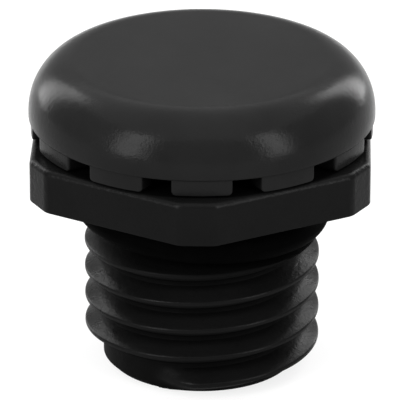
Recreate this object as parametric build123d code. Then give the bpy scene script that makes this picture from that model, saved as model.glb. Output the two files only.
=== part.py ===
from build123d import *
import os
from math import cos, radians, sin, sqrt, tan

# Vent plug with an M12 x 1.5 stem and a 17 mm hexagon, in millimetres.
# The origin is the middle of the flange's underside, the face that seats on the housing.
# +Z points to the cap. The flange has flats towards +X and -X and a corner towards -Y.

# Thread and stem
thread_major_d = 11.92
thread_depth = 0.93
thread_pitch = 1.5
thread_flank_angle = 30.0
thread_crest_flat = 0.19
thread_end_azimuth = -108.0
thread_sunk = 0.2
stem_length = 10.0
stem_end_chamfer = 0.3
pilot_length = 0.77
runout_span = 33.0
runout_gap = 0.5
runout_cone_height = 0.35
neck_relief = 0.13
neck_slope = 0.12

# Seal ring and the groove that takes it in the flange's underside
ring_section = 1.5
ring_clearance = 0.1
ring_drop = 0.95
ring_tilt = 3.0
groove_clearance = 0.35
ring_squeeze = 0.4

# Hex flange
seat_land = 1.65
corner_cut = 0.465
flange_thickness = 2.25
flange_top_round = 0.3
flange_bottom_round = 0.06
flange_corner_round = 0.25

# Bore, membrane and its seat
stem_wall = 1.5
bore_chamfer = 0.4
membrane_ledge = 0.9
membrane_thickness = 0.25
seat_clearance = 0.25
seat_depth = 0.7

# Collar that carries the cap
collar_wall = 1.25
collar_height = 2.0
collar_edge = 0.2
bead_projection = 0.35
bead_height = 0.55
bead_lead = 0.2

# Cap
cap_overhang = 0.235
cap_crown = 1.05
shoulder_width = 2.4
skirt_wall = 1.2
skirt_height = 0.33
rim_edge = 0.1
cap_turn = 1.5

# Castellations that hang from the rim
tooth_count = 12
tooth_width = 3.0
tooth_length = 0.82
tooth_inset = 0.11
tooth_wall = 1.0
tooth_gap = 0.1
tooth_round = 0.22

# Snap hooks and stop ribs inside the cap
hook_count = 4
hook_angle = 26.0
hook_wall = 0.75
hook_clearance = 0.1
hook_overlap = 0.25
hook_barb_height = 0.5
hook_lead = 0.35
rib_count = 4
rib_width = 0.8
rib_height = 0.95
rib_setback = 0.55
rib_sunk = 0.3

# Radii, worked out from the thread outwards
thread_r = thread_major_d / 2
root_r = thread_r - thread_depth
neck_r = root_r - neck_relief
ring_inner_r = neck_r + ring_clearance
ring_middle_r = ring_inner_r + ring_section / 2
groove_r = ring_inner_r + ring_section + groove_clearance
flat_distance = groove_r + seat_land
corner_distance = flat_distance * 2 / sqrt(3) - corner_cut
bore_r = neck_r - stem_wall
membrane_r = bore_r + membrane_ledge
recess_r = membrane_r + seat_clearance
collar_r = recess_r + collar_wall
bead_r = collar_r + bead_projection
cap_r = flat_distance + cap_overhang
skirt_inner_r = cap_r - skirt_wall
crown_r = cap_r - shoulder_width
tooth_r = cap_r - tooth_inset
rib_inner_r = recess_r + rib_setback

# Heights, worked out from the seat face up and down
collar_top_z = flange_thickness + collar_height
seat_z = collar_top_z - seat_depth
bead_top_z = collar_top_z - bead_lead
bead_bottom_z = bead_top_z - bead_height
tooth_bottom_z = flange_thickness + tooth_gap
rim_z = tooth_bottom_z + tooth_length
skirt_top_z = rim_z + skirt_height
ceiling_z = collar_top_z + rib_height
cap_top_z = ceiling_z + cap_crown
groove_depth = ring_section - ring_squeeze
ring_z = -ring_drop - ring_section / 2
neck_bottom_z = ring_z - ring_section / 2
thread_start_z = neck_bottom_z - runout_gap + thread_pitch
thread_end_z = pilot_length - stem_length


def ring_of(outer_r, inner_r, bottom, top):
    """A plain tube between two heights."""
    tube = Cylinder(outer_r, top - bottom, align=(Align.CENTER, Align.CENTER, Align.MIN))
    hole = Cylinder(inner_r, top - bottom, align=(Align.CENTER, Align.CENTER, Align.MIN))
    return Pos(0, 0, bottom) * (tube - hole)


def turned(points):
    """A solid turned about Z from its half outline, given as (radius, height) points."""
    outline = Polyline(*[(r, 0, z) for r, z in points], close=True)
    return revolve(make_face(outline), Axis.Z)


def sector(outer_r, angle, azimuth, bottom, top):
    """A wedge about Z that covers one angle, used to cut rings into segments."""
    half = radians(angle / 2)
    reach = outer_r / cos(half)
    corners = [(0, 0), (reach * cos(half), -reach * sin(half)), (reach * cos(half), reach * sin(half))]
    wedge = extrude(make_face(Polyline(*corners, close=True)), top - bottom)
    return Rot(0, 0, azimuth) * Pos(0, 0, bottom) * wedge


# Body: flange, collar and hollow threaded stem, moulded in one piece

def flange():
    flat = RegularPolygon(flat_distance, 6, major_radius=False, rotation=30)
    hexagon = flat & Circle(corner_distance)
    plate = extrude(hexagon, flange_thickness)
    plate = fillet(plate.edges().filter_by(Axis.Z), flange_corner_round)
    plate = fillet(plate.edges().group_by(Axis.Z)[-1], flange_top_round)
    plate = fillet(plate.edges().group_by(Axis.Z)[0], flange_bottom_round)
    return plate - ring_of(groove_r, neck_r, 0, groove_depth)


def stem_core():
    """The plain stem: neck under the flange, root cylinder and chamfered pilot end."""
    return turned([
        (0, flange_thickness / 2),
        (neck_r, flange_thickness / 2),
        (neck_r, neck_bottom_z),
        (root_r, neck_bottom_z - neck_slope),
        (root_r, stem_end_chamfer - stem_length),
        (root_r - stem_end_chamfer, -stem_length),
        (0, -stem_length),
    ])


def thread():
    """A right-hand ridge that fades out under the seal and near the pilot end."""
    depth = thread_depth + thread_sunk
    half_crest = thread_crest_flat / 2
    half_base = half_crest + depth * tan(radians(thread_flank_angle))
    path = Helix(thread_pitch, thread_start_z - thread_end_z, root_r, center=(0, 0, thread_end_z))
    profile = make_face(Polyline(
        (root_r - thread_sunk, 0, thread_end_z - half_base),
        (thread_r, 0, thread_end_z - half_crest),
        (thread_r, 0, thread_end_z + half_crest),
        (root_r - thread_sunk, 0, thread_end_z + half_base),
        close=True,
    ))
    ridge = sweep(profile, path=path, is_frenet=True)
    ridge = Rot(0, 0, thread_end_azimuth) * ridge
    return ridge - upper_runout() - lower_runout()


def upper_runout():
    """A conical cut that thins the first turn away under the seal."""
    inner_r = root_r - 2 * thread_sunk
    outer_r = thread_r + thread_sunk
    slope = runout_cone_height / thread_depth
    cone_z = neck_bottom_z - runout_gap
    inner_z = cone_z + (thread_r - inner_r) * slope
    outer_z = cone_z + (thread_r - outer_r) * slope
    return turned([(inner_r, inner_z), (outer_r, outer_z), (outer_r, 0), (inner_r, 0)])


def lower_runout():
    """A flat cut that lets the last turn rise out of the stem over a short arc."""
    start = radians(thread_end_azimuth)
    full = radians(thread_end_azimuth + runout_span)
    low = Vector(root_r * cos(start), root_r * sin(start))
    high = Vector(thread_r * cos(full), thread_r * sin(full))
    along = (high - low).normalized()
    outward = Vector(along.Y, -along.X)
    first = low - along * thread_pitch
    last = high + along * thread_crest_flat
    corners = [first, last, last + outward * thread_pitch, first + outward * thread_pitch]
    block = extrude(make_face(Polyline(*[(c.X, c.Y) for c in corners], close=True)), 2 * thread_pitch)
    return Pos(0, 0, thread_end_z + thread_pitch / 2 - 2 * thread_pitch) * block


def collar():
    """The ring the cap snaps on, with a bead and a lead-in chamfer."""
    return turned([
        (0, flange_thickness / 2),
        (collar_r, flange_thickness / 2),
        (collar_r, bead_bottom_z - bead_projection / 2),
        (bead_r, bead_bottom_z),
        (bead_r, bead_top_z),
        (collar_r, collar_top_z),
        (0, collar_top_z),
    ])


def bore():
    """The air way through the stem, its mouth and the membrane's recess."""
    return turned([
        (0, -stem_length - bore_chamfer),
        (bore_r + 2 * bore_chamfer, -stem_length - bore_chamfer),
        (bore_r, -stem_length + bore_chamfer),
        (bore_r, seat_z),
        (recess_r, seat_z),
        (recess_r, collar_top_z - collar_edge),
        (recess_r + 2 * collar_edge, collar_top_z + collar_edge),
        (0, collar_top_z + collar_edge),
    ])


def body():
    return flange() + stem_core() + thread() + collar() - bore()


# Cap: dome, castellated rim, snap hooks and stop ribs, moulded in one piece

def dome():
    """The shell of the cap, turned from its section: a flat top with an elliptical shoulder."""
    crown = Line((0, cap_top_z), (crown_r, cap_top_z))
    rise = cap_top_z - skirt_top_z
    shoulder = EllipticalCenterArc((crown_r, skirt_top_z), shoulder_width, rise, arc_size=90)
    lining = Polyline(
        (cap_r, skirt_top_z),
        (cap_r, rim_z + rim_edge),
        (cap_r - rim_edge, rim_z),
        (skirt_inner_r, rim_z),
        (skirt_inner_r, skirt_top_z),
        (crown_r, ceiling_z),
        (0, ceiling_z),
        (0, cap_top_z),
    )
    outline = Plane.XZ * make_face([crown, shoulder] + lining.edges())
    return revolve(outline, Axis.Z)


def tooth():
    """One castellation, with rounded lower corners, pointing towards -Y."""
    top = rim_z + skirt_wall / 2
    front = Rectangle(tooth_width, top - tooth_bottom_z, align=(Align.CENTER, Align.MIN))
    front = fillet(front.vertices().group_by(Axis.Y)[0], tooth_round)
    block = extrude(Plane.XZ * front, cap_r)
    block = Pos(0, 0, tooth_bottom_z) * block
    return block & ring_of(tooth_r, tooth_r - tooth_wall, tooth_bottom_z, top)


def hook():
    """One snap hook that hangs from the ceiling and grips under the bead, towards +X."""
    inner_r = bead_r + hook_clearance
    outer_r = inner_r + hook_wall
    barb_r = bead_r - hook_overlap
    barb_top = bead_bottom_z - hook_clearance
    barb_bottom = barb_top - hook_barb_height
    arm = turned([
        (inner_r, ceiling_z + rib_sunk),
        (inner_r, barb_top),
        (barb_r, barb_top - bead_projection / 2),
        (barb_r, barb_bottom),
        (inner_r, barb_bottom - hook_lead),
        (outer_r, barb_bottom - hook_lead),
        (outer_r, ceiling_z + rib_sunk),
    ])
    return arm & sector(cap_r, hook_angle, 0, flange_thickness, cap_top_z)


def rib():
    """One stop rib that rests on the collar's top and stiffens the crown, towards +X."""
    length = skirt_inner_r + rib_sunk - rib_inner_r
    bar = Box(length, rib_width, rib_height + rib_sunk, align=(Align.MIN, Align.CENTER, Align.MIN))
    return Pos(rib_inner_r, 0, collar_top_z) * bar


def cap():
    teeth = [Rot(0, 0, i * 360 / tooth_count) * tooth() for i in range(tooth_count)]
    hooks = [Rot(0, 0, i * 360 / hook_count) * hook() for i in range(hook_count)]
    half_step = 180 / rib_count
    ribs = [Rot(0, 0, half_step + i * 360 / rib_count) * rib() for i in range(rib_count)]
    whole = dome() + teeth + hooks + ribs
    return Rot(0, 0, cap_turn) * whole


# Loose parts

def membrane():
    disc = Cylinder(membrane_r, membrane_thickness, align=(Align.CENTER, Align.CENTER, Align.MIN))
    return Pos(0, 0, seat_z) * disc


def seal():
    return Pos(0, 0, ring_z) * Rot(0, ring_tilt, 0) * Torus(ring_middle_r, ring_section / 2)


os.makedirs("parts", exist_ok=True)
for name, solid in [("body", body()), ("cap", cap()), ("membrane", membrane()), ("o_ring", seal())]:
    export_step(solid, f"parts/{name}.step")
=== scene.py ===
"""Vent plug: a domed cap with a castellated rim, snapped on a hex flange with a hollow threaded stem.

Built in metres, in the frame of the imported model. Lengths are written in millimetres times MM.
"""

import math

import bmesh
import bpy
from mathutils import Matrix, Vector


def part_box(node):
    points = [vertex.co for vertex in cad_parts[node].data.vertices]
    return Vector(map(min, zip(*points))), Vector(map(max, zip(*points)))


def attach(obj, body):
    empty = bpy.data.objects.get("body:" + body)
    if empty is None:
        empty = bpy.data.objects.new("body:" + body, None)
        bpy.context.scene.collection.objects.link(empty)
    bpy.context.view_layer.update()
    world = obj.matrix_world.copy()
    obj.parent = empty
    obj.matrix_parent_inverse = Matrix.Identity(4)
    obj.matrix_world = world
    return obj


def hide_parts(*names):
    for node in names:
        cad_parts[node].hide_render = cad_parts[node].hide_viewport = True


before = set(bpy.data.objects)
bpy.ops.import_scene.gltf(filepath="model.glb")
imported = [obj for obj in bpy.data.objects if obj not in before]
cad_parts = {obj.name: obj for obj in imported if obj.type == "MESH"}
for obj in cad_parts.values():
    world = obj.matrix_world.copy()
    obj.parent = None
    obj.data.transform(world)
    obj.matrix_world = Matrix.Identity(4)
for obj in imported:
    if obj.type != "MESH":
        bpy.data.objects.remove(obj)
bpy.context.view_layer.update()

MM = 0.001
TURN = 2 * math.pi
PLANK = 0.002 * MM
MERGE = 0.0003 * MM

# Sizes that the frame gives
body_low, body_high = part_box("body")
cap_low, cap_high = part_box("cap")
ring_low, ring_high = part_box("o_ring")
film_low, film_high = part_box("membrane")
flat_distance = body_high.x
stem_end_z = body_low.z
collar_top_z = body_high.z
cap_r = cap_high.x - PLANK
cap_top_z = cap_high.z
tooth_bottom_z = cap_low.z
seat_z = film_low.z
film_r = film_high.x

# Hex flange
flange_thickness = 2.25 * MM
flange_corner_cut = 1.012 * MM
flange_corner_round = 0.22 * MM
flange_top_round = 0.3 * MM
flange_bottom_round = 0.06 * MM
groove_r = 6.85 * MM
groove_depth = 1.1 * MM
groove_round = 0.15 * MM

# Threaded stem
thread_r = 5.96 * MM
root_r = 5.03 * MM
thread_pitch = 1.5 * MM
thread_crest_flat = 0.19 * MM
thread_flank_angle = math.radians(30)
crest_round = 0.12 * MM
root_round = 0.25 * MM
crest_z = stem_end_z + 0.72 * MM
thread_end_azimuth = math.radians(-120)
runout_span = math.radians(33)
runout_cone_height = 0.35 * MM
runout_gap = 0.5 * MM
stem_end_chamfer = 0.3 * MM
neck_r = 4.9 * MM
neck_slope = 0.12 * MM
neck_bottom_z = -2.45 * MM
bore_r = 3.4 * MM
bore_chamfer = 0.4 * MM
stem_top_z = groove_depth * 1.3

# Collar
collar_foot_z = groove_depth * 1.2
collar_r = 5.8 * MM
bead_projection = 0.35 * MM
bead_height = 0.55 * MM
bead_lead = 0.2 * MM
recess_r = 4.55 * MM
collar_edge = 0.2 * MM
edge_round = 0.06 * MM

# Cap
shoulder_width = 2.4 * MM
skirt_wall = 1.2 * MM
rim_z = tooth_bottom_z + 0.82 * MM
rim_round = 0.12 * MM
skirt_top_z = rim_z + 0.33 * MM
crown_thickness = 1.05 * MM
cap_turn = math.radians(1.5)
tooth_count = 12
tooth_width = 3.0 * MM
tooth_inset = 0.11 * MM
tooth_wall = 1.0 * MM
tooth_round = 0.22 * MM
tooth_edge_round = 0.08 * MM
hook_count = 4
hook_angle = math.radians(26)
hook_wall = 0.75 * MM
hook_clearance = 0.1 * MM
hook_overlap = 0.25 * MM
hook_barb_height = 0.5 * MM
hook_lead = 0.35 * MM
rib_count = 4
rib_width = 0.8 * MM
rib_setback = 0.55 * MM
rib_sunk = 0.3 * MM

# Seal ring
ring_section = 1.5 * MM
ring_tilt = math.radians(3)
flash_height = 0.02 * MM

# Membrane
film_rim_width = 0.7 * MM
film_press = 0.05 * MM
film_dome = 0.03 * MM
film_edge_round = 0.02 * MM

# Mesh fineness
LATHE_STEPS = 192
THREAD_STEPS = 180
THREAD_ROW = 0.15 * MM
SHOULDER_STEPS = 28
TOOTH_EDGE_STEPS = 4
TOOTH_COLUMNS = 12
HOOK_STEPS = 10
RING_STEPS = 160
RING_SECTION_STEPS = 48
ARC_STEPS = 5
SMOOTH_ANGLE = math.radians(32)


# Hand tools

def alone(piece):
    """Make one object the only selected and active one."""
    bpy.ops.object.select_all(action="DESELECT")
    piece.select_set(True)
    bpy.context.view_layer.objects.active = piece


def added(name):
    """The object that was just added, under its own name."""
    piece = bpy.context.object
    piece.name = name
    piece.data.name = name
    return piece


def start_edit(piece):
    alone(piece)
    bpy.ops.object.mode_set(mode="EDIT")
    bpy.ops.mesh.select_mode(type="VERT")


def end_edit():
    bpy.ops.object.mode_set(mode="OBJECT")


def pick(kind, test):
    """In edit mode, select only the verts, edges or faces that pass a test."""
    bpy.ops.mesh.select_mode(type={"verts": "VERT", "edges": "EDGE", "faces": "FACE"}[kind])
    bpy.ops.mesh.select_all(action="DESELECT")
    mesh = bmesh.from_edit_mesh(bpy.context.object.data)
    for part in getattr(mesh, kind):
        if test(part):
            part.select_set(True)
    bmesh.update_edit_mesh(bpy.context.object.data)


def middle(edge):
    return (edge.verts[0].co + edge.verts[1].co) / 2


def along(edge, axis):
    """True if an edge runs along the axis with that index."""
    step = edge.verts[1].co - edge.verts[0].co
    return abs(step[axis]) > 0.99 * step.length


def close_up(piece):
    """Merge doubles and turn all faces outwards."""
    start_edit(piece)
    bpy.ops.mesh.select_all(action="SELECT")
    bpy.ops.mesh.remove_doubles(threshold=MERGE)
    bpy.ops.mesh.normals_make_consistent(inside=False)
    end_edit()


def use_modifier(piece, kind, **settings):
    alone(piece)
    bpy.ops.object.modifier_add(type=kind)
    modifier = piece.modifiers[-1]
    for key, value in settings.items():
        setattr(modifier, key, value)
    bpy.ops.object.modifier_apply(modifier=modifier.name)


def combine(piece, tool, operation):
    """Unite a tool with a piece, or cut it out, and throw the tool away."""
    use_modifier(piece, "BOOLEAN", operation=operation, solver="MANIFOLD", object=tool)
    bpy.data.objects.remove(tool)


def joined(name, pieces):
    """Several separate solids as one object."""
    alone(pieces[0])
    for piece in pieces:
        piece.select_set(True)
    bpy.ops.object.join()
    return added(name)


def copies(piece, count):
    """A ring of copies about Z, the first in the piece's own place."""
    ring = [piece]
    for i in range(1, count):
        alone(piece)
        bpy.ops.object.duplicate()
        start_edit(bpy.context.object)
        bpy.ops.mesh.select_all(action="SELECT")
        turn_selected(i * TURN / count)
        end_edit()
        ring.append(bpy.context.object)
    return ring


def turn_selected(angle):
    """Turn what is selected in edit mode about Z, counterclockwise seen from above."""
    bpy.ops.transform.rotate(value=-angle, orient_axis="Z", center_override=(0, 0, 0))


def finish_smooth(piece):
    """Smooth shading that keeps flat faces flat."""
    alone(piece)
    bpy.ops.object.shade_smooth_by_angle(angle=SMOOTH_ANGLE)
    use_modifier(piece, "WEIGHTED_NORMAL", keep_sharp=True)


# Outlines as (radius, height) points

def arc(middle_r, middle_z, width, height, start, end, count=ARC_STEPS):
    """Points on an ellipse from one angle to another, in degrees."""
    points = []
    for i in range(count + 1):
        angle = math.radians(start + (end - start) * i / count)
        points.append((middle_r + width * math.cos(angle), middle_z + height * math.sin(angle)))
    return points


def eased(corners, size, closed=True):
    """An outline with each corner rounded to a radius, or less where its sides are short."""
    points = []
    count = len(corners)
    for i, (r, z) in enumerate(corners):
        here = Vector((r, z))
        wish = size[i] if isinstance(size, (list, tuple)) else size
        if wish == 0 or not closed and i in (0, count - 1):
            points.append((r, z))
            continue
        before = Vector(corners[i - 1]) - here
        after = Vector(corners[(i + 1) % count]) - here
        half = before.angle(after) / 2
        setback = min(wish / math.tan(half), 0.45 * before.length, 0.45 * after.length)
        radius = setback * math.tan(half)
        bisector = (before.normalized() + after.normalized()).normalized()
        centre = here + bisector * radius / math.sin(half)
        first = here + before.normalized() * setback - centre
        last = here + after.normalized() * setback - centre
        sweep = first.angle_signed(last)
        for k in range(ARC_STEPS + 1):
            turn = -sweep * k / ARC_STEPS
            x = first.x * math.cos(turn) - first.y * math.sin(turn)
            y = first.x * math.sin(turn) + first.y * math.cos(turn)
            points.append((centre.x + x, centre.y + y))
    return points


def drawn(name, outline, closed):
    """A wire in the XZ plane, drawn point by point."""
    bpy.ops.object.select_all(action="DESELECT")
    bpy.ops.mesh.primitive_plane_add(size=MM, location=(0, 0, 0))
    piece = added(name)
    start_edit(piece)
    bpy.ops.mesh.select_all(action="SELECT")
    bpy.ops.mesh.merge(type="CENTER")
    r, z = outline[0]
    bpy.ops.transform.translate(value=(r, 0, z))
    for (r0, z0), (r1, z1) in zip(outline, outline[1:]):
        bpy.ops.mesh.extrude_vertices_move(TRANSFORM_OT_translate={"value": (r1 - r0, 0, z1 - z0)})
    if closed:
        bpy.ops.mesh.select_all(action="SELECT")
        bpy.ops.mesh.edge_face_add()
    end_edit()
    return piece


def lathe(name, outline):
    """A solid turned about Z from an outline that starts and ends on the axis."""
    piece = drawn(name, outline, closed=False)
    start_edit(piece)
    bpy.ops.mesh.select_all(action="SELECT")
    bpy.ops.mesh.spin(steps=LATHE_STEPS, angle=TURN, center=(0, 0, 0), axis=(0, 0, 1))
    end_edit()
    close_up(piece)
    return piece


def lathe_part(name, outline, angle, steps):
    """A closed outline swept about Z over one angle, centred on +X."""
    piece = drawn(name, outline, closed=True)
    start_edit(piece)
    bpy.ops.mesh.select_all(action="SELECT")
    turn_selected(-angle / 2)
    bpy.ops.mesh.spin(steps=steps, angle=-angle, center=(0, 0, 0), axis=(0, 0, 1))
    end_edit()
    close_up(piece)
    return piece


# Body: flange, collar and hollow threaded stem

def make_flange():
    """The hexagon with cut corners and soft edges, solid."""
    bpy.ops.object.select_all(action="DESELECT")
    bpy.ops.mesh.primitive_cylinder_add(
        vertices=6, radius=flat_distance / math.cos(TURN / 12), depth=flange_thickness,
        location=(0, 0, flange_thickness / 2))
    piece = added("flange")
    bpy.ops.object.transform_apply(location=True, rotation=True, scale=True)
    start_edit(piece)
    pick("edges", lambda edge: along(edge, 2))
    bpy.ops.mesh.bevel(offset=flange_corner_cut, segments=1, affect="EDGES")
    pick("edges", lambda edge: along(edge, 2))
    bpy.ops.mesh.bevel(offset=flange_corner_round, segments=4, affect="EDGES")
    pick("edges", lambda edge: middle(edge).z > flange_thickness * 0.99 and not along(edge, 2))
    bpy.ops.mesh.bevel(offset=flange_top_round, segments=5, affect="EDGES")
    pick("edges", lambda edge: middle(edge).z < flange_thickness * 0.01 and not along(edge, 2))
    bpy.ops.mesh.bevel(offset=flange_bottom_round, segments=4, affect="EDGES")
    end_edit()
    groove = lathe("groove", [(0, -MM), (groove_r, -MM)] + eased(
        [(groove_r, -MM), (groove_r, groove_depth), (0, groove_depth)], groove_round, closed=False)[1:])
    combine(piece, groove, "DIFFERENCE")
    return piece


def thread_profile():
    """One pitch of the thread's outline about a crest, from root middle to root middle."""
    drop = (thread_r - root_r) * math.tan(thread_flank_angle)
    crest = thread_crest_flat / 2
    corners = [
        (root_r, -thread_pitch / 2),
        (root_r, -crest - drop),
        (thread_r, -crest),
        (thread_r, crest),
        (root_r, crest + drop),
        (root_r, thread_pitch / 2),
    ]
    shape = eased(corners, [0, root_round, crest_round, crest_round, root_round, 0], closed=False)
    points = []
    for (r0, z0), (r1, z1) in zip(shape, shape[1:]):
        rows = max(1, round(abs(r1 - r0) / THREAD_ROW))
        for k in range(rows):
            points.append((r0 + (r1 - r0) * k / rows, z0 + (z1 - z0) * k / rows))
    return points + [shape[-1]]


def ridge_share(azimuth, z):
    """The share of its height, 0 to 1, that the ridge has where it rises out of the stem's end."""
    turns_up = (z - crest_z) / thread_pitch
    unwound = (azimuth - thread_end_azimuth) % TURN
    angle = unwound + round(turns_up - unwound / TURN) * TURN
    share = min(max(angle / runout_span, 0), 1)
    return share * share * (3 - 2 * share)


def cone_r(z):
    """The largest radius that the thread may have where it dies away under the seal."""
    cone_z = neck_bottom_z - runout_gap
    return thread_r - max(0, z - cone_z) / runout_cone_height * (thread_r - root_r)


def core_r(z):
    """The radius of the plain stem under the thread, with its neck and its chamfered end."""
    if z > neck_bottom_z - neck_slope:
        return root_r - (z - neck_bottom_z + neck_slope) / neck_slope * (root_r - neck_r)
    return root_r - max(0, stem_end_z + stem_end_chamfer - z)


def slice_at(height, clear_below=False, clear_above=False):
    """In edit mode, cut all round at one height, and drop one side if asked."""
    bpy.ops.mesh.select_all(action="SELECT")
    bpy.ops.mesh.bisect(
        plane_co=(0, 0, height), plane_no=(0, 0, 1), threshold=MERGE,
        clear_inner=clear_below, clear_outer=clear_above)


def make_stem():
    """The threaded stem, screwed up from one pitch and faded out at both ends, solid."""
    below = 2
    turns = 7
    first_z = crest_z - thread_end_azimuth / TURN * thread_pitch - below * thread_pitch
    piece = drawn("stem", [(r, z + first_z) for r, z in thread_profile()], closed=False)
    use_modifier(
        piece, "SCREW", axis="Z", angle=TURN, screw_offset=thread_pitch, iterations=turns,
        steps=THREAD_STEPS, render_steps=THREAD_STEPS)
    close_up(piece)
    start_edit(piece)
    slice_at(stem_end_z, clear_below=True)
    slice_at(stem_end_z + stem_end_chamfer)
    slice_at(neck_bottom_z - neck_slope)
    slice_at(neck_bottom_z, clear_above=True)
    end_edit()
    for vertex in piece.data.vertices:
        place = vertex.co
        reach = math.hypot(place.x, place.y)
        share = ridge_share(math.atan2(place.y, place.x), place.z)
        wish = min(root_r + (reach - root_r) * share, cone_r(place.z))
        if wish < root_r + PLANK:
            wish = core_r(place.z)
        place.x *= wish / reach
        place.y *= wish / reach
    close_up(piece)
    start_edit(piece)
    for height, rise in ((stem_end_z, 0), (neck_bottom_z, stem_top_z - neck_bottom_z)):
        pick("edges", lambda edge: edge.is_boundary and abs(middle(edge).z - height) < PLANK)
        if rise:
            bpy.ops.mesh.extrude_edges_move(TRANSFORM_OT_translate={"value": (0, 0, rise)})
        bpy.ops.mesh.edge_face_add()
    end_edit()
    close_up(piece)
    return piece


def make_collar():
    """The ring that the cap snaps on, solid."""
    bead_top_z = collar_top_z - bead_lead
    bead_bottom_z = bead_top_z - bead_height
    return lathe("collar", eased([
        (0, collar_foot_z),
        (collar_r, collar_foot_z),
        (collar_r, bead_bottom_z - bead_projection / 2),
        (collar_r + bead_projection, bead_bottom_z),
        (collar_r + bead_projection, bead_top_z),
        (collar_r, collar_top_z),
        (0, collar_top_z),
    ], edge_round, closed=False))


def make_bore():
    """The air way that is cut out of the stem and the collar."""
    return lathe("bore", eased([
        (0, stem_end_z - MM),
        (bore_r + bore_chamfer + MM, stem_end_z - MM),
        (bore_r, stem_end_z + bore_chamfer),
        (bore_r, seat_z),
        (recess_r, seat_z),
        (recess_r, collar_top_z - collar_edge),
        (recess_r + MM, collar_top_z - collar_edge + MM),
        (0, collar_top_z - collar_edge + MM),
    ], edge_round, closed=False))


def make_body():
    piece = make_flange()
    combine(piece, make_stem(), "UNION")
    combine(piece, make_collar(), "UNION")
    combine(piece, make_bore(), "DIFFERENCE")
    finish_smooth(piece)
    piece.name = "plug_body"
    return piece


# Cap: dome, castellated rim, snap hooks and stop ribs

def make_dome():
    """The shell: flat top, elliptical shoulder, short skirt with a soft rim, hollow inside."""
    crown_r = cap_r - shoulder_width
    skirt_inner_r = cap_r - skirt_wall
    ceiling_z = cap_top_z - crown_thickness
    shoulder = arc(crown_r, skirt_top_z, shoulder_width, cap_top_z - skirt_top_z, 90, 0, SHOULDER_STEPS)
    rim = arc(cap_r - rim_round, rim_z + rim_round, rim_round, rim_round, 0, -90)
    lining = eased([
        (cap_r - rim_round, rim_z),
        (skirt_inner_r, rim_z),
        (skirt_inner_r, skirt_top_z),
        (crown_r, ceiling_z),
        (0, ceiling_z),
    ], edge_round, closed=False)
    return lathe("dome", [(0, cap_top_z)] + shoulder + rim + lining[1:])


def make_tooth():
    """One castellation towards -Y: an extruded outline with a soft edge, curved round Z."""
    outer_r = cap_r - tooth_inset
    half = tooth_width / 2
    top_z = rim_z + skirt_wall / 2
    corners = [(-half, top_z), (-half, tooth_bottom_z), (half, tooth_bottom_z), (half, top_z)]
    piece = drawn("tooth", eased(corners, [0, tooth_round, tooth_round, 0]), closed=True)
    start_edit(piece)
    bpy.ops.mesh.select_all(action="SELECT")
    bpy.ops.transform.translate(value=(0, tooth_wall - outer_r, 0))
    bpy.ops.mesh.extrude_region_move(
        TRANSFORM_OT_translate={"value": (0, tooth_edge_round - tooth_wall, 0)})
    bpy.ops.mesh.select_all(action="SELECT")
    bpy.ops.mesh.normals_make_consistent(inside=False)
    pick("faces", lambda face: face.calc_center_median().y < tooth_edge_round - outer_r + PLANK)
    for i in range(TOOTH_EDGE_STEPS):
        start = TURN / 4 * i / TOOTH_EDGE_STEPS
        end = TURN / 4 * (i + 1) / TOOTH_EDGE_STEPS
        bpy.ops.mesh.inset(
            thickness=tooth_edge_round * (math.cos(start) - math.cos(end)),
            depth=tooth_edge_round * (math.sin(end) - math.sin(start)))
    for i in range(1, TOOTH_COLUMNS):
        bpy.ops.mesh.select_all(action="SELECT")
        bpy.ops.mesh.bisect(
            plane_co=(half * (2 * i / TOOTH_COLUMNS - 1), 0, 0), plane_no=(1, 0, 0), threshold=MERGE)
    end_edit()
    for vertex in piece.data.vertices:
        vertex.co.y += outer_r - math.sqrt(outer_r ** 2 - vertex.co.x ** 2)
    return piece


def make_hook():
    """One snap hook towards +X that grips under the collar's bead."""
    bead_r = collar_r + bead_projection
    bead_bottom_z = collar_top_z - bead_lead - bead_height
    inner_r = bead_r + hook_clearance
    barb_r = bead_r - hook_overlap
    barb_top = bead_bottom_z - hook_clearance
    barb_bottom = barb_top - hook_barb_height
    root_z = cap_top_z - crown_thickness + rib_sunk
    outline = eased([
        (inner_r, root_z),
        (inner_r, barb_top),
        (barb_r, barb_top - bead_projection / 2),
        (barb_r, barb_bottom),
        (inner_r, barb_bottom - hook_lead),
        (inner_r + hook_wall, barb_bottom - hook_lead),
        (inner_r + hook_wall, root_z),
    ], edge_round)
    return lathe_part("hook", outline, hook_angle, HOOK_STEPS)


def make_rib():
    """One stop rib, half way between two hooks."""
    inner_r = recess_r + rib_setback
    outer_r = cap_r - skirt_wall + rib_sunk
    top_z = cap_top_z - crown_thickness + rib_sunk
    bpy.ops.object.select_all(action="DESELECT")
    bpy.ops.mesh.primitive_cube_add(
        size=1, location=((inner_r + outer_r) / 2, 0, (collar_top_z + top_z) / 2),
        scale=(outer_r - inner_r, rib_width, top_z - collar_top_z))
    piece = added("rib")
    bpy.ops.object.transform_apply(location=True, rotation=True, scale=True)
    start_edit(piece)
    pick("edges", lambda edge: (
        middle(edge).z < collar_top_z + PLANK or middle(edge).x < inner_r + PLANK))
    bpy.ops.mesh.bevel(offset=edge_round, segments=2, affect="EDGES")
    bpy.ops.mesh.select_all(action="SELECT")
    turn_selected(TURN / (2 * rib_count))
    end_edit()
    return piece


def make_cap():
    piece = make_dome()
    inner = copies(make_tooth(), tooth_count) + copies(make_hook(), hook_count)
    inner += copies(make_rib(), rib_count)
    combine(piece, joined("cap_parts", inner), "UNION")
    start_edit(piece)
    bpy.ops.mesh.select_all(action="SELECT")
    turn_selected(cap_turn)
    end_edit()
    finish_smooth(piece)
    piece.name = "vent_cap"
    return piece


# Loose parts

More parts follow.
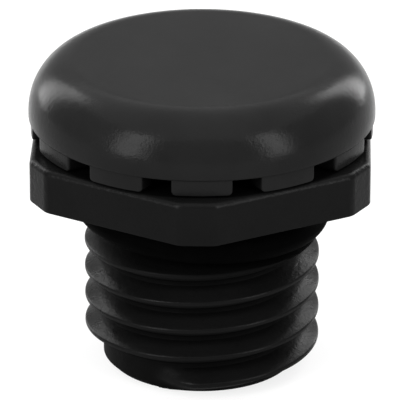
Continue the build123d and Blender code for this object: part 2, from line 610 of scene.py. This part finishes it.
def make_ring():
    """The seal ring, which hangs a little aslant, with the fine flash line of its mould."""
    centre = (ring_low + ring_high) / 2
    outer_r = ring_high.y
    section_r = ring_section / 2
    bpy.ops.object.select_all(action="DESELECT")
    bpy.ops.mesh.primitive_torus_add(
        major_segments=RING_STEPS, minor_segments=RING_SECTION_STEPS, major_radius=outer_r - section_r,
        minor_radius=section_r, location=centre, rotation=(0, ring_tilt, 0))
    piece = added("seal_ring")
    start_edit(piece)
    pick("verts", lambda v: abs(v.co.z) < PLANK or abs(math.hypot(v.co.x, v.co.y) - outer_r) < PLANK)
    bpy.ops.mesh.select_all(action="INVERT")
    bpy.ops.transform.shrink_fatten(value=-flash_height)
    end_edit()
    bpy.ops.object.transform_apply(location=True, rotation=True, scale=True)
    alone(piece)
    bpy.ops.object.shade_smooth()
    return piece


def make_film():
    """The membrane: a thin disc with a pressed rim where it is welded to its seat."""
    low, high = film_low.z, film_high.z
    piece = lathe("vent_membrane", eased([
        (0, low),
        (film_r - PLANK, low),
        (film_r - PLANK, high - film_press),
        (film_r - film_rim_width, high - film_press),
        (film_r - film_rim_width - film_press, high - film_dome),
        (0, high),
    ], film_edge_round, closed=False))
    finish_smooth(piece)
    return piece


# Materials

# Grains of noise per metre
CLOUD_SCALE = 260
SWIRL_SCALE = 1400
GRAIN_SCALE = 9000

# Finish of the mouldings, and the painted shade in their hollows
mottle = 0.15
rough_below = 0.04
rough_above = 0.05
swirl_depth = 0.012 * MM
cloud_depth = 0.03 * MM
underside_z = -0.6
underside_dullness = 0.55
hollow_dullness = 0.4
# Painted shade: share of the base colour left in the thread roots, the tooth gaps and under the seal
painted_shade_share = 0.15
# Sizes of the masks for the painted shade and the dullness in the thread roots, the tooth gaps and
# under the seal
root_hollow_reach = 0.35 * MM
root_hollow_fade = 0.5 * MM
gap_hollow_start = 0.04 * MM
gap_hollow_full = 0.16 * MM
gap_hollow_fade = 0.04 * MM
seal_hollow_reach = 0.55 * MM
seal_hollow_fade = 0.35 * MM
beyond_r = 10 * MM


class Value:
    """A shader number that Python's operators work on."""

    def __init__(self, shader, socket):
        self.shader = shader
        self.socket = socket

    def math(self, operation, other, swapped=False):
        left, right = (other, self) if swapped else (self, other)
        return self.shader.node("ShaderNodeMath", {"operation": operation}, {0: left, 1: right})

    def __add__(self, other):
        return self.math("ADD", other)

    def __radd__(self, other):
        return self.math("ADD", other, swapped=True)

    def __sub__(self, other):
        return self.math("SUBTRACT", other)

    def __rsub__(self, other):
        return self.math("SUBTRACT", other, swapped=True)

    def __mul__(self, other):
        return self.math("MULTIPLY", other)

    def __rmul__(self, other):
        return self.math("MULTIPLY", other, swapped=True)

    def or_more(self, other):
        return self.math("MAXIMUM", other)


class Shader:
    """A material's nodes."""

    def __init__(self, name):
        self.material = bpy.data.materials.new(name)
        self.material.use_nodes = True
        self.tree = self.material.node_tree
        self.tree.nodes.clear()

    def node(self, kind, settings=None, inputs=None, output=0):
        """Add a node, set it up, feed its sockets, and return one output as a Value."""
        node = self.tree.nodes.new(kind)
        for key, value in (settings or {}).items():
            setattr(node, key, value)
        for key, value in (inputs or {}).items():
            if isinstance(value, Value):
                self.tree.links.new(value.socket, node.inputs[key])
            else:
                node.inputs[key].default_value = value
        return Value(self, node.outputs[output]) if node.outputs else None

    def place(self):
        return self.node("ShaderNodeTexCoord", output="Object")

    def noise(self, scale, detail=3.0, roughness=0.55):
        """Noise from 0 to 1 whose grains are 1 / scale metres across."""
        return self.node("ShaderNodeTexNoise", inputs={
            "Vector": self.place(), "Scale": scale, "Detail": detail, "Roughness": roughness})

    def ramp(self, factor, low, high, start=0.0, end=1.0):
        return self.node("ShaderNodeMapRange", {"clamp": True}, {
            "Value": factor, "From Min": start, "From Max": end, "To Min": low, "To Max": high})

    def blend(self, factor, first, second):
        """A mix of two colours."""
        return self.node(
            "ShaderNodeMix", {"data_type": "RGBA"}, {0: factor, 6: first, 7: second}, output=2)

    def bump(self, height, distance, strength=1.0, normal=None):
        inputs = {"Height": height, "Distance": distance, "Strength": strength}
        if normal:
            inputs["Normal"] = normal
        return self.node("ShaderNodeBump", inputs=inputs)

    def underside(self, full):
        """0 on faces that look up or sideways, 1 where the normal's Z is as low as stated."""
        normal = self.node("ShaderNodeNewGeometry", output="Normal")
        height = self.node("ShaderNodeSeparateXYZ", inputs={"Vector": normal}, output="Z")
        return self.ramp(height, 0.0, 1.0, 0.0, full)

    def recess(self, full_r, clear_r, low_z, high_z, fade):
        """1 deep inside a recess between two heights, fading to 0 outwards, above and below."""
        place = self.place()
        flat = self.node(
            "ShaderNodeVectorMath", {"operation": "MULTIPLY"}, {0: place, 1: (1, 1, 0)})
        radius = self.node("ShaderNodeVectorMath", {"operation": "LENGTH"}, {0: flat}, output="Value")
        height = self.node("ShaderNodeSeparateXYZ", inputs={"Vector": place}, output="Z")
        deep = self.ramp(radius, 1.0, 0.0, full_r, clear_r)
        over = self.ramp(height, 0.0, 1.0, low_z - fade, low_z)
        return deep * over * self.ramp(height, 1.0, 0.0, high_z, high_z + fade)

    def surface(self, inputs):
        principled = self.node("ShaderNodeBsdfPrincipled", inputs=inputs)
        self.node("ShaderNodeOutputMaterial", inputs={"Surface": principled})
        return self.material


def grey(value):
    return (value, value, value, 1)


def moulded_plastic(name, base, roughness, gloss, grain_depth, pit_scale, pit_depth):
    """Black moulded plastic: grained, faintly clouded, dull underneath and dull in hollows, with
    painted shade that darkens the colour in the thread roots, on the flange between the teeth and in a
    band under the seal.
    """
    shader = Shader(name)
    clouds = shader.noise(CLOUD_SCALE, detail=3)
    grain = shader.noise(GRAIN_SCALE, detail=2)
    swirl = shader.noise(SWIRL_SCALE, detail=4, roughness=0.6)
    patches = shader.ramp(clouds, 0, 1, start=0.3, end=0.7)
    colour = shader.blend(patches, grey(base * (1 - mottle)), grey(base * (1 + mottle)))
    rough = shader.ramp(swirl, roughness - rough_below, roughness + rough_above, start=0.3, end=0.7)
    front_r = cap_r - tooth_inset
    # Masks for where shade falls: thread roots, flange top between the teeth, band under the seal; they
    # carry painted shade into the colour and raise the roughness
    root_shade_and_dullness = shader.recess(
        root_r, root_r + root_hollow_reach, stem_end_z, neck_bottom_z, root_hollow_fade)
    gap_shade_and_dullness = shader.recess(
        front_r - gap_hollow_full, front_r - gap_hollow_start, flange_thickness, rim_z, gap_hollow_fade)
    seal_shade_and_dullness = shader.recess(
        beyond_r, beyond_r + MM, neck_bottom_z - seal_hollow_reach, -seal_hollow_fade, seal_hollow_fade)
    shade_and_dullness_mask = (root_shade_and_dullness + gap_shade_and_dullness).or_more(seal_shade_and_dullness)
    # Painted shade: the colour is darkened in the masked thread roots, tooth gaps and under the seal
    colour = shader.blend(shade_and_dullness_mask, colour, grey(base * painted_shade_share))
    rough = rough + shader.underside(underside_z) * underside_dullness + shade_and_dullness_mask * hollow_dullness
    relief = shader.bump(grain, grain_depth, 0.7)
    relief = shader.bump(shader.noise(pit_scale, detail=2), pit_depth, 0.8, relief)
    relief = shader.bump(swirl, swirl_depth, 0.5, relief)
    relief = shader.bump(clouds, cloud_depth, 0.4, relief)
    return shader.surface({
        "Base Color": colour, "Roughness": rough, "Normal": relief, "IOR": 1.45,
        "Specular IOR Level": gloss})


def seal_rubber():
    """Black nitrile rubber, dull, with a dusty bloom."""
    shader = Shader("seal_rubber_finish")
    bloom = shader.noise(900, detail=4)
    grain = shader.noise(12000, detail=2)
    colour = shader.blend(shader.ramp(bloom, 0, 1, start=0.35, end=0.7), grey(0.0005), grey(0.0011))
    rough = shader.ramp(bloom, 0.55, 0.7, start=0.3, end=0.7)
    return shader.surface({
        "Base Color": colour, "Roughness": rough, "Normal": shader.bump(grain, 0.004 * MM, 0.6),
        "Specular IOR Level": 0.006})


def membrane_film():
    """White microporous film: fine open fibres, matt."""
    shader = Shader("membrane_finish")
    fibres = shader.noise(22000, detail=5, roughness=0.7)
    patches = shader.noise(1500, detail=2)
    colour = shader.blend(
        shader.ramp(fibres, 0, 1, start=0.35, end=0.65), (0.72, 0.72, 0.70, 1), (0.84, 0.84, 0.82, 1))
    rough = shader.ramp(patches, 0.7, 0.85, start=0.3, end=0.7)
    return shader.surface({
        "Base Color": colour, "Roughness": rough, "Normal": shader.bump(fibres, 0.01 * MM, 0.7)})


def coat(piece, material):
    piece.data.materials.clear()
    piece.data.materials.append(material)


# Studio
studio_r = 0.5
world_strength = 0.6
floor_size = 3.0
floor_gap = 0.01 * MM
paper_hidden = 0.35
paper_shown = 0.9
white_share = 0.78

# Softboxes: name, azimuth, lowest and highest elevation and width in degrees, and radiance
SOFTBOXES = (
    ("front_left_strip", -137, 1, 43, 20, 10),
    ("front_right_strip", -38, 1, 43, 14, 11),
    ("back_right_strip", 52, -1, 43, 14, 8),
    ("back_left_strip", 136, -1, 43, 18, 6.5),
    ("top_box", -90, 45, 147, 90, 1.35),
)


def make_floor():
    """A white sweep that shows white to the camera and in gloss, and keeps the soft shadow."""
    bpy.ops.object.select_all(action="DESELECT")
    bpy.ops.mesh.primitive_plane_add(size=floor_size, location=(0, 0, stem_end_z - floor_gap))
    floor = added("floor")
    bpy.ops.object.transform_apply(location=True, rotation=True, scale=True)
    shader = Shader("floor_white")
    path = shader.tree.nodes.new("ShaderNodeLightPath")
    camera, gloss, passed = (
        Value(shader, path.outputs[f"Is {kind} Ray"]) for kind in ("Camera", "Glossy", "Transmission"))
    shown = camera.or_more(gloss).or_more(passed)
    paper = shader.node("ShaderNodeBsdfDiffuse", inputs={
        "Color": shader.blend(shown, grey(paper_hidden), grey(paper_shown))})
    white = shader.node("ShaderNodeEmission", inputs={"Color": grey(1.0), "Strength": 1.0})
    mixed = shader.node("ShaderNodeMixShader", inputs={0: shown * white_share, 1: paper, 2: white})
    shader.node("ShaderNodeOutputMaterial", inputs={"Surface": mixed})
    coat(floor, shader.material)


def make_world():
    world = bpy.data.worlds.new("studio")
    bpy.context.scene.world = world
    world.use_nodes = True
    sky = world.node_tree.nodes["Background"]
    sky.inputs["Color"].default_value = grey(1.0)
    sky.inputs["Strength"].default_value = world_strength


def add_softbox(name, azimuth, low, high, width, radiance):
    """A softbox round the object, from one elevation to another, in degrees, that faces the middle."""
    turn = math.radians(azimuth)
    lift = math.radians((low + high) / 2)
    flat = math.cos(lift)
    place = Vector((flat * math.cos(turn), flat * math.sin(turn), math.sin(lift))) * studio_r
    lamp = bpy.data.lights.new(name, "AREA")
    lamp.shape = "RECTANGLE"
    lamp.size = 2 * studio_r * math.tan(math.radians(width / 2))
    lamp.size_y = 2 * studio_r * math.tan(math.radians((high - low) / 2))
    lamp.energy = radiance * math.pi * lamp.size * lamp.size_y
    holder = bpy.data.objects.new(name, lamp)
    bpy.context.collection.objects.link(holder)
    holder.location = place
    holder.rotation_euler = (-place).to_track_quat("-Z", "Y").to_euler()


# Camera: placed by the fit of the photograph's outline, in the photograph's 400 x 400 pixels
view_distance = 260 * MM
view_elevation = math.radians(23.02)
view_azimuth = math.radians(1.5)
pixels_per_mm = 19.78
origin_pixel = (201.9, 172.25)
frame_pixels = 400
sensor_width = 36


def make_camera():
    flat = math.cos(view_elevation)
    back = Vector((
        flat * math.sin(view_azimuth), -flat * math.cos(view_azimuth), math.sin(view_elevation)))
    right = Vector((math.cos(view_azimuth), math.sin(view_azimuth), 0))
    up = back.cross(right)
    across = (frame_pixels / 2 - origin_pixel[0]) / pixels_per_mm * MM
    down = (frame_pixels / 2 - origin_pixel[1]) / pixels_per_mm * MM
    place = back * view_distance
    aim = right * across - up * down
    lens = bpy.data.cameras.new("camera")
    lens.sensor_width = sensor_width
    lens.lens = pixels_per_mm * view_distance / MM / frame_pixels * sensor_width
    lens.clip_start = 0.01
    camera = bpy.data.objects.new("camera", lens)
    bpy.context.collection.objects.link(camera)
    camera.location = place
    camera.rotation_euler = (aim - place).to_track_quat("-Z", "Y").to_euler()
    bpy.context.scene.camera = camera


def dress(piece, node, material):
    """Put a piece under the root body, hide the imported part that it stands for, and give it its
    finish.
    """
    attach(piece, "root")
    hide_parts(node)
    coat(piece, material)


make_camera()
dress(make_body(), "body", moulded_plastic(
    "body_finish", base=0.004, roughness=0.29, gloss=0.055, grain_depth=0.008 * MM,
    pit_scale=4200, pit_depth=0.022 * MM))
dress(make_cap(), "cap", moulded_plastic(
    "cap_finish", base=0.008, roughness=0.2, gloss=0.07, grain_depth=0.01 * MM,
    pit_scale=5000, pit_depth=0.009 * MM))
dress(make_ring(), "o_ring", seal_rubber())
dress(make_film(), "membrane", membrane_film())
make_floor()
make_world()
for softbox in SOFTBOXES:
    add_softbox(*softbox)
bpy.context.scene.view_settings.view_transform = "Standard"
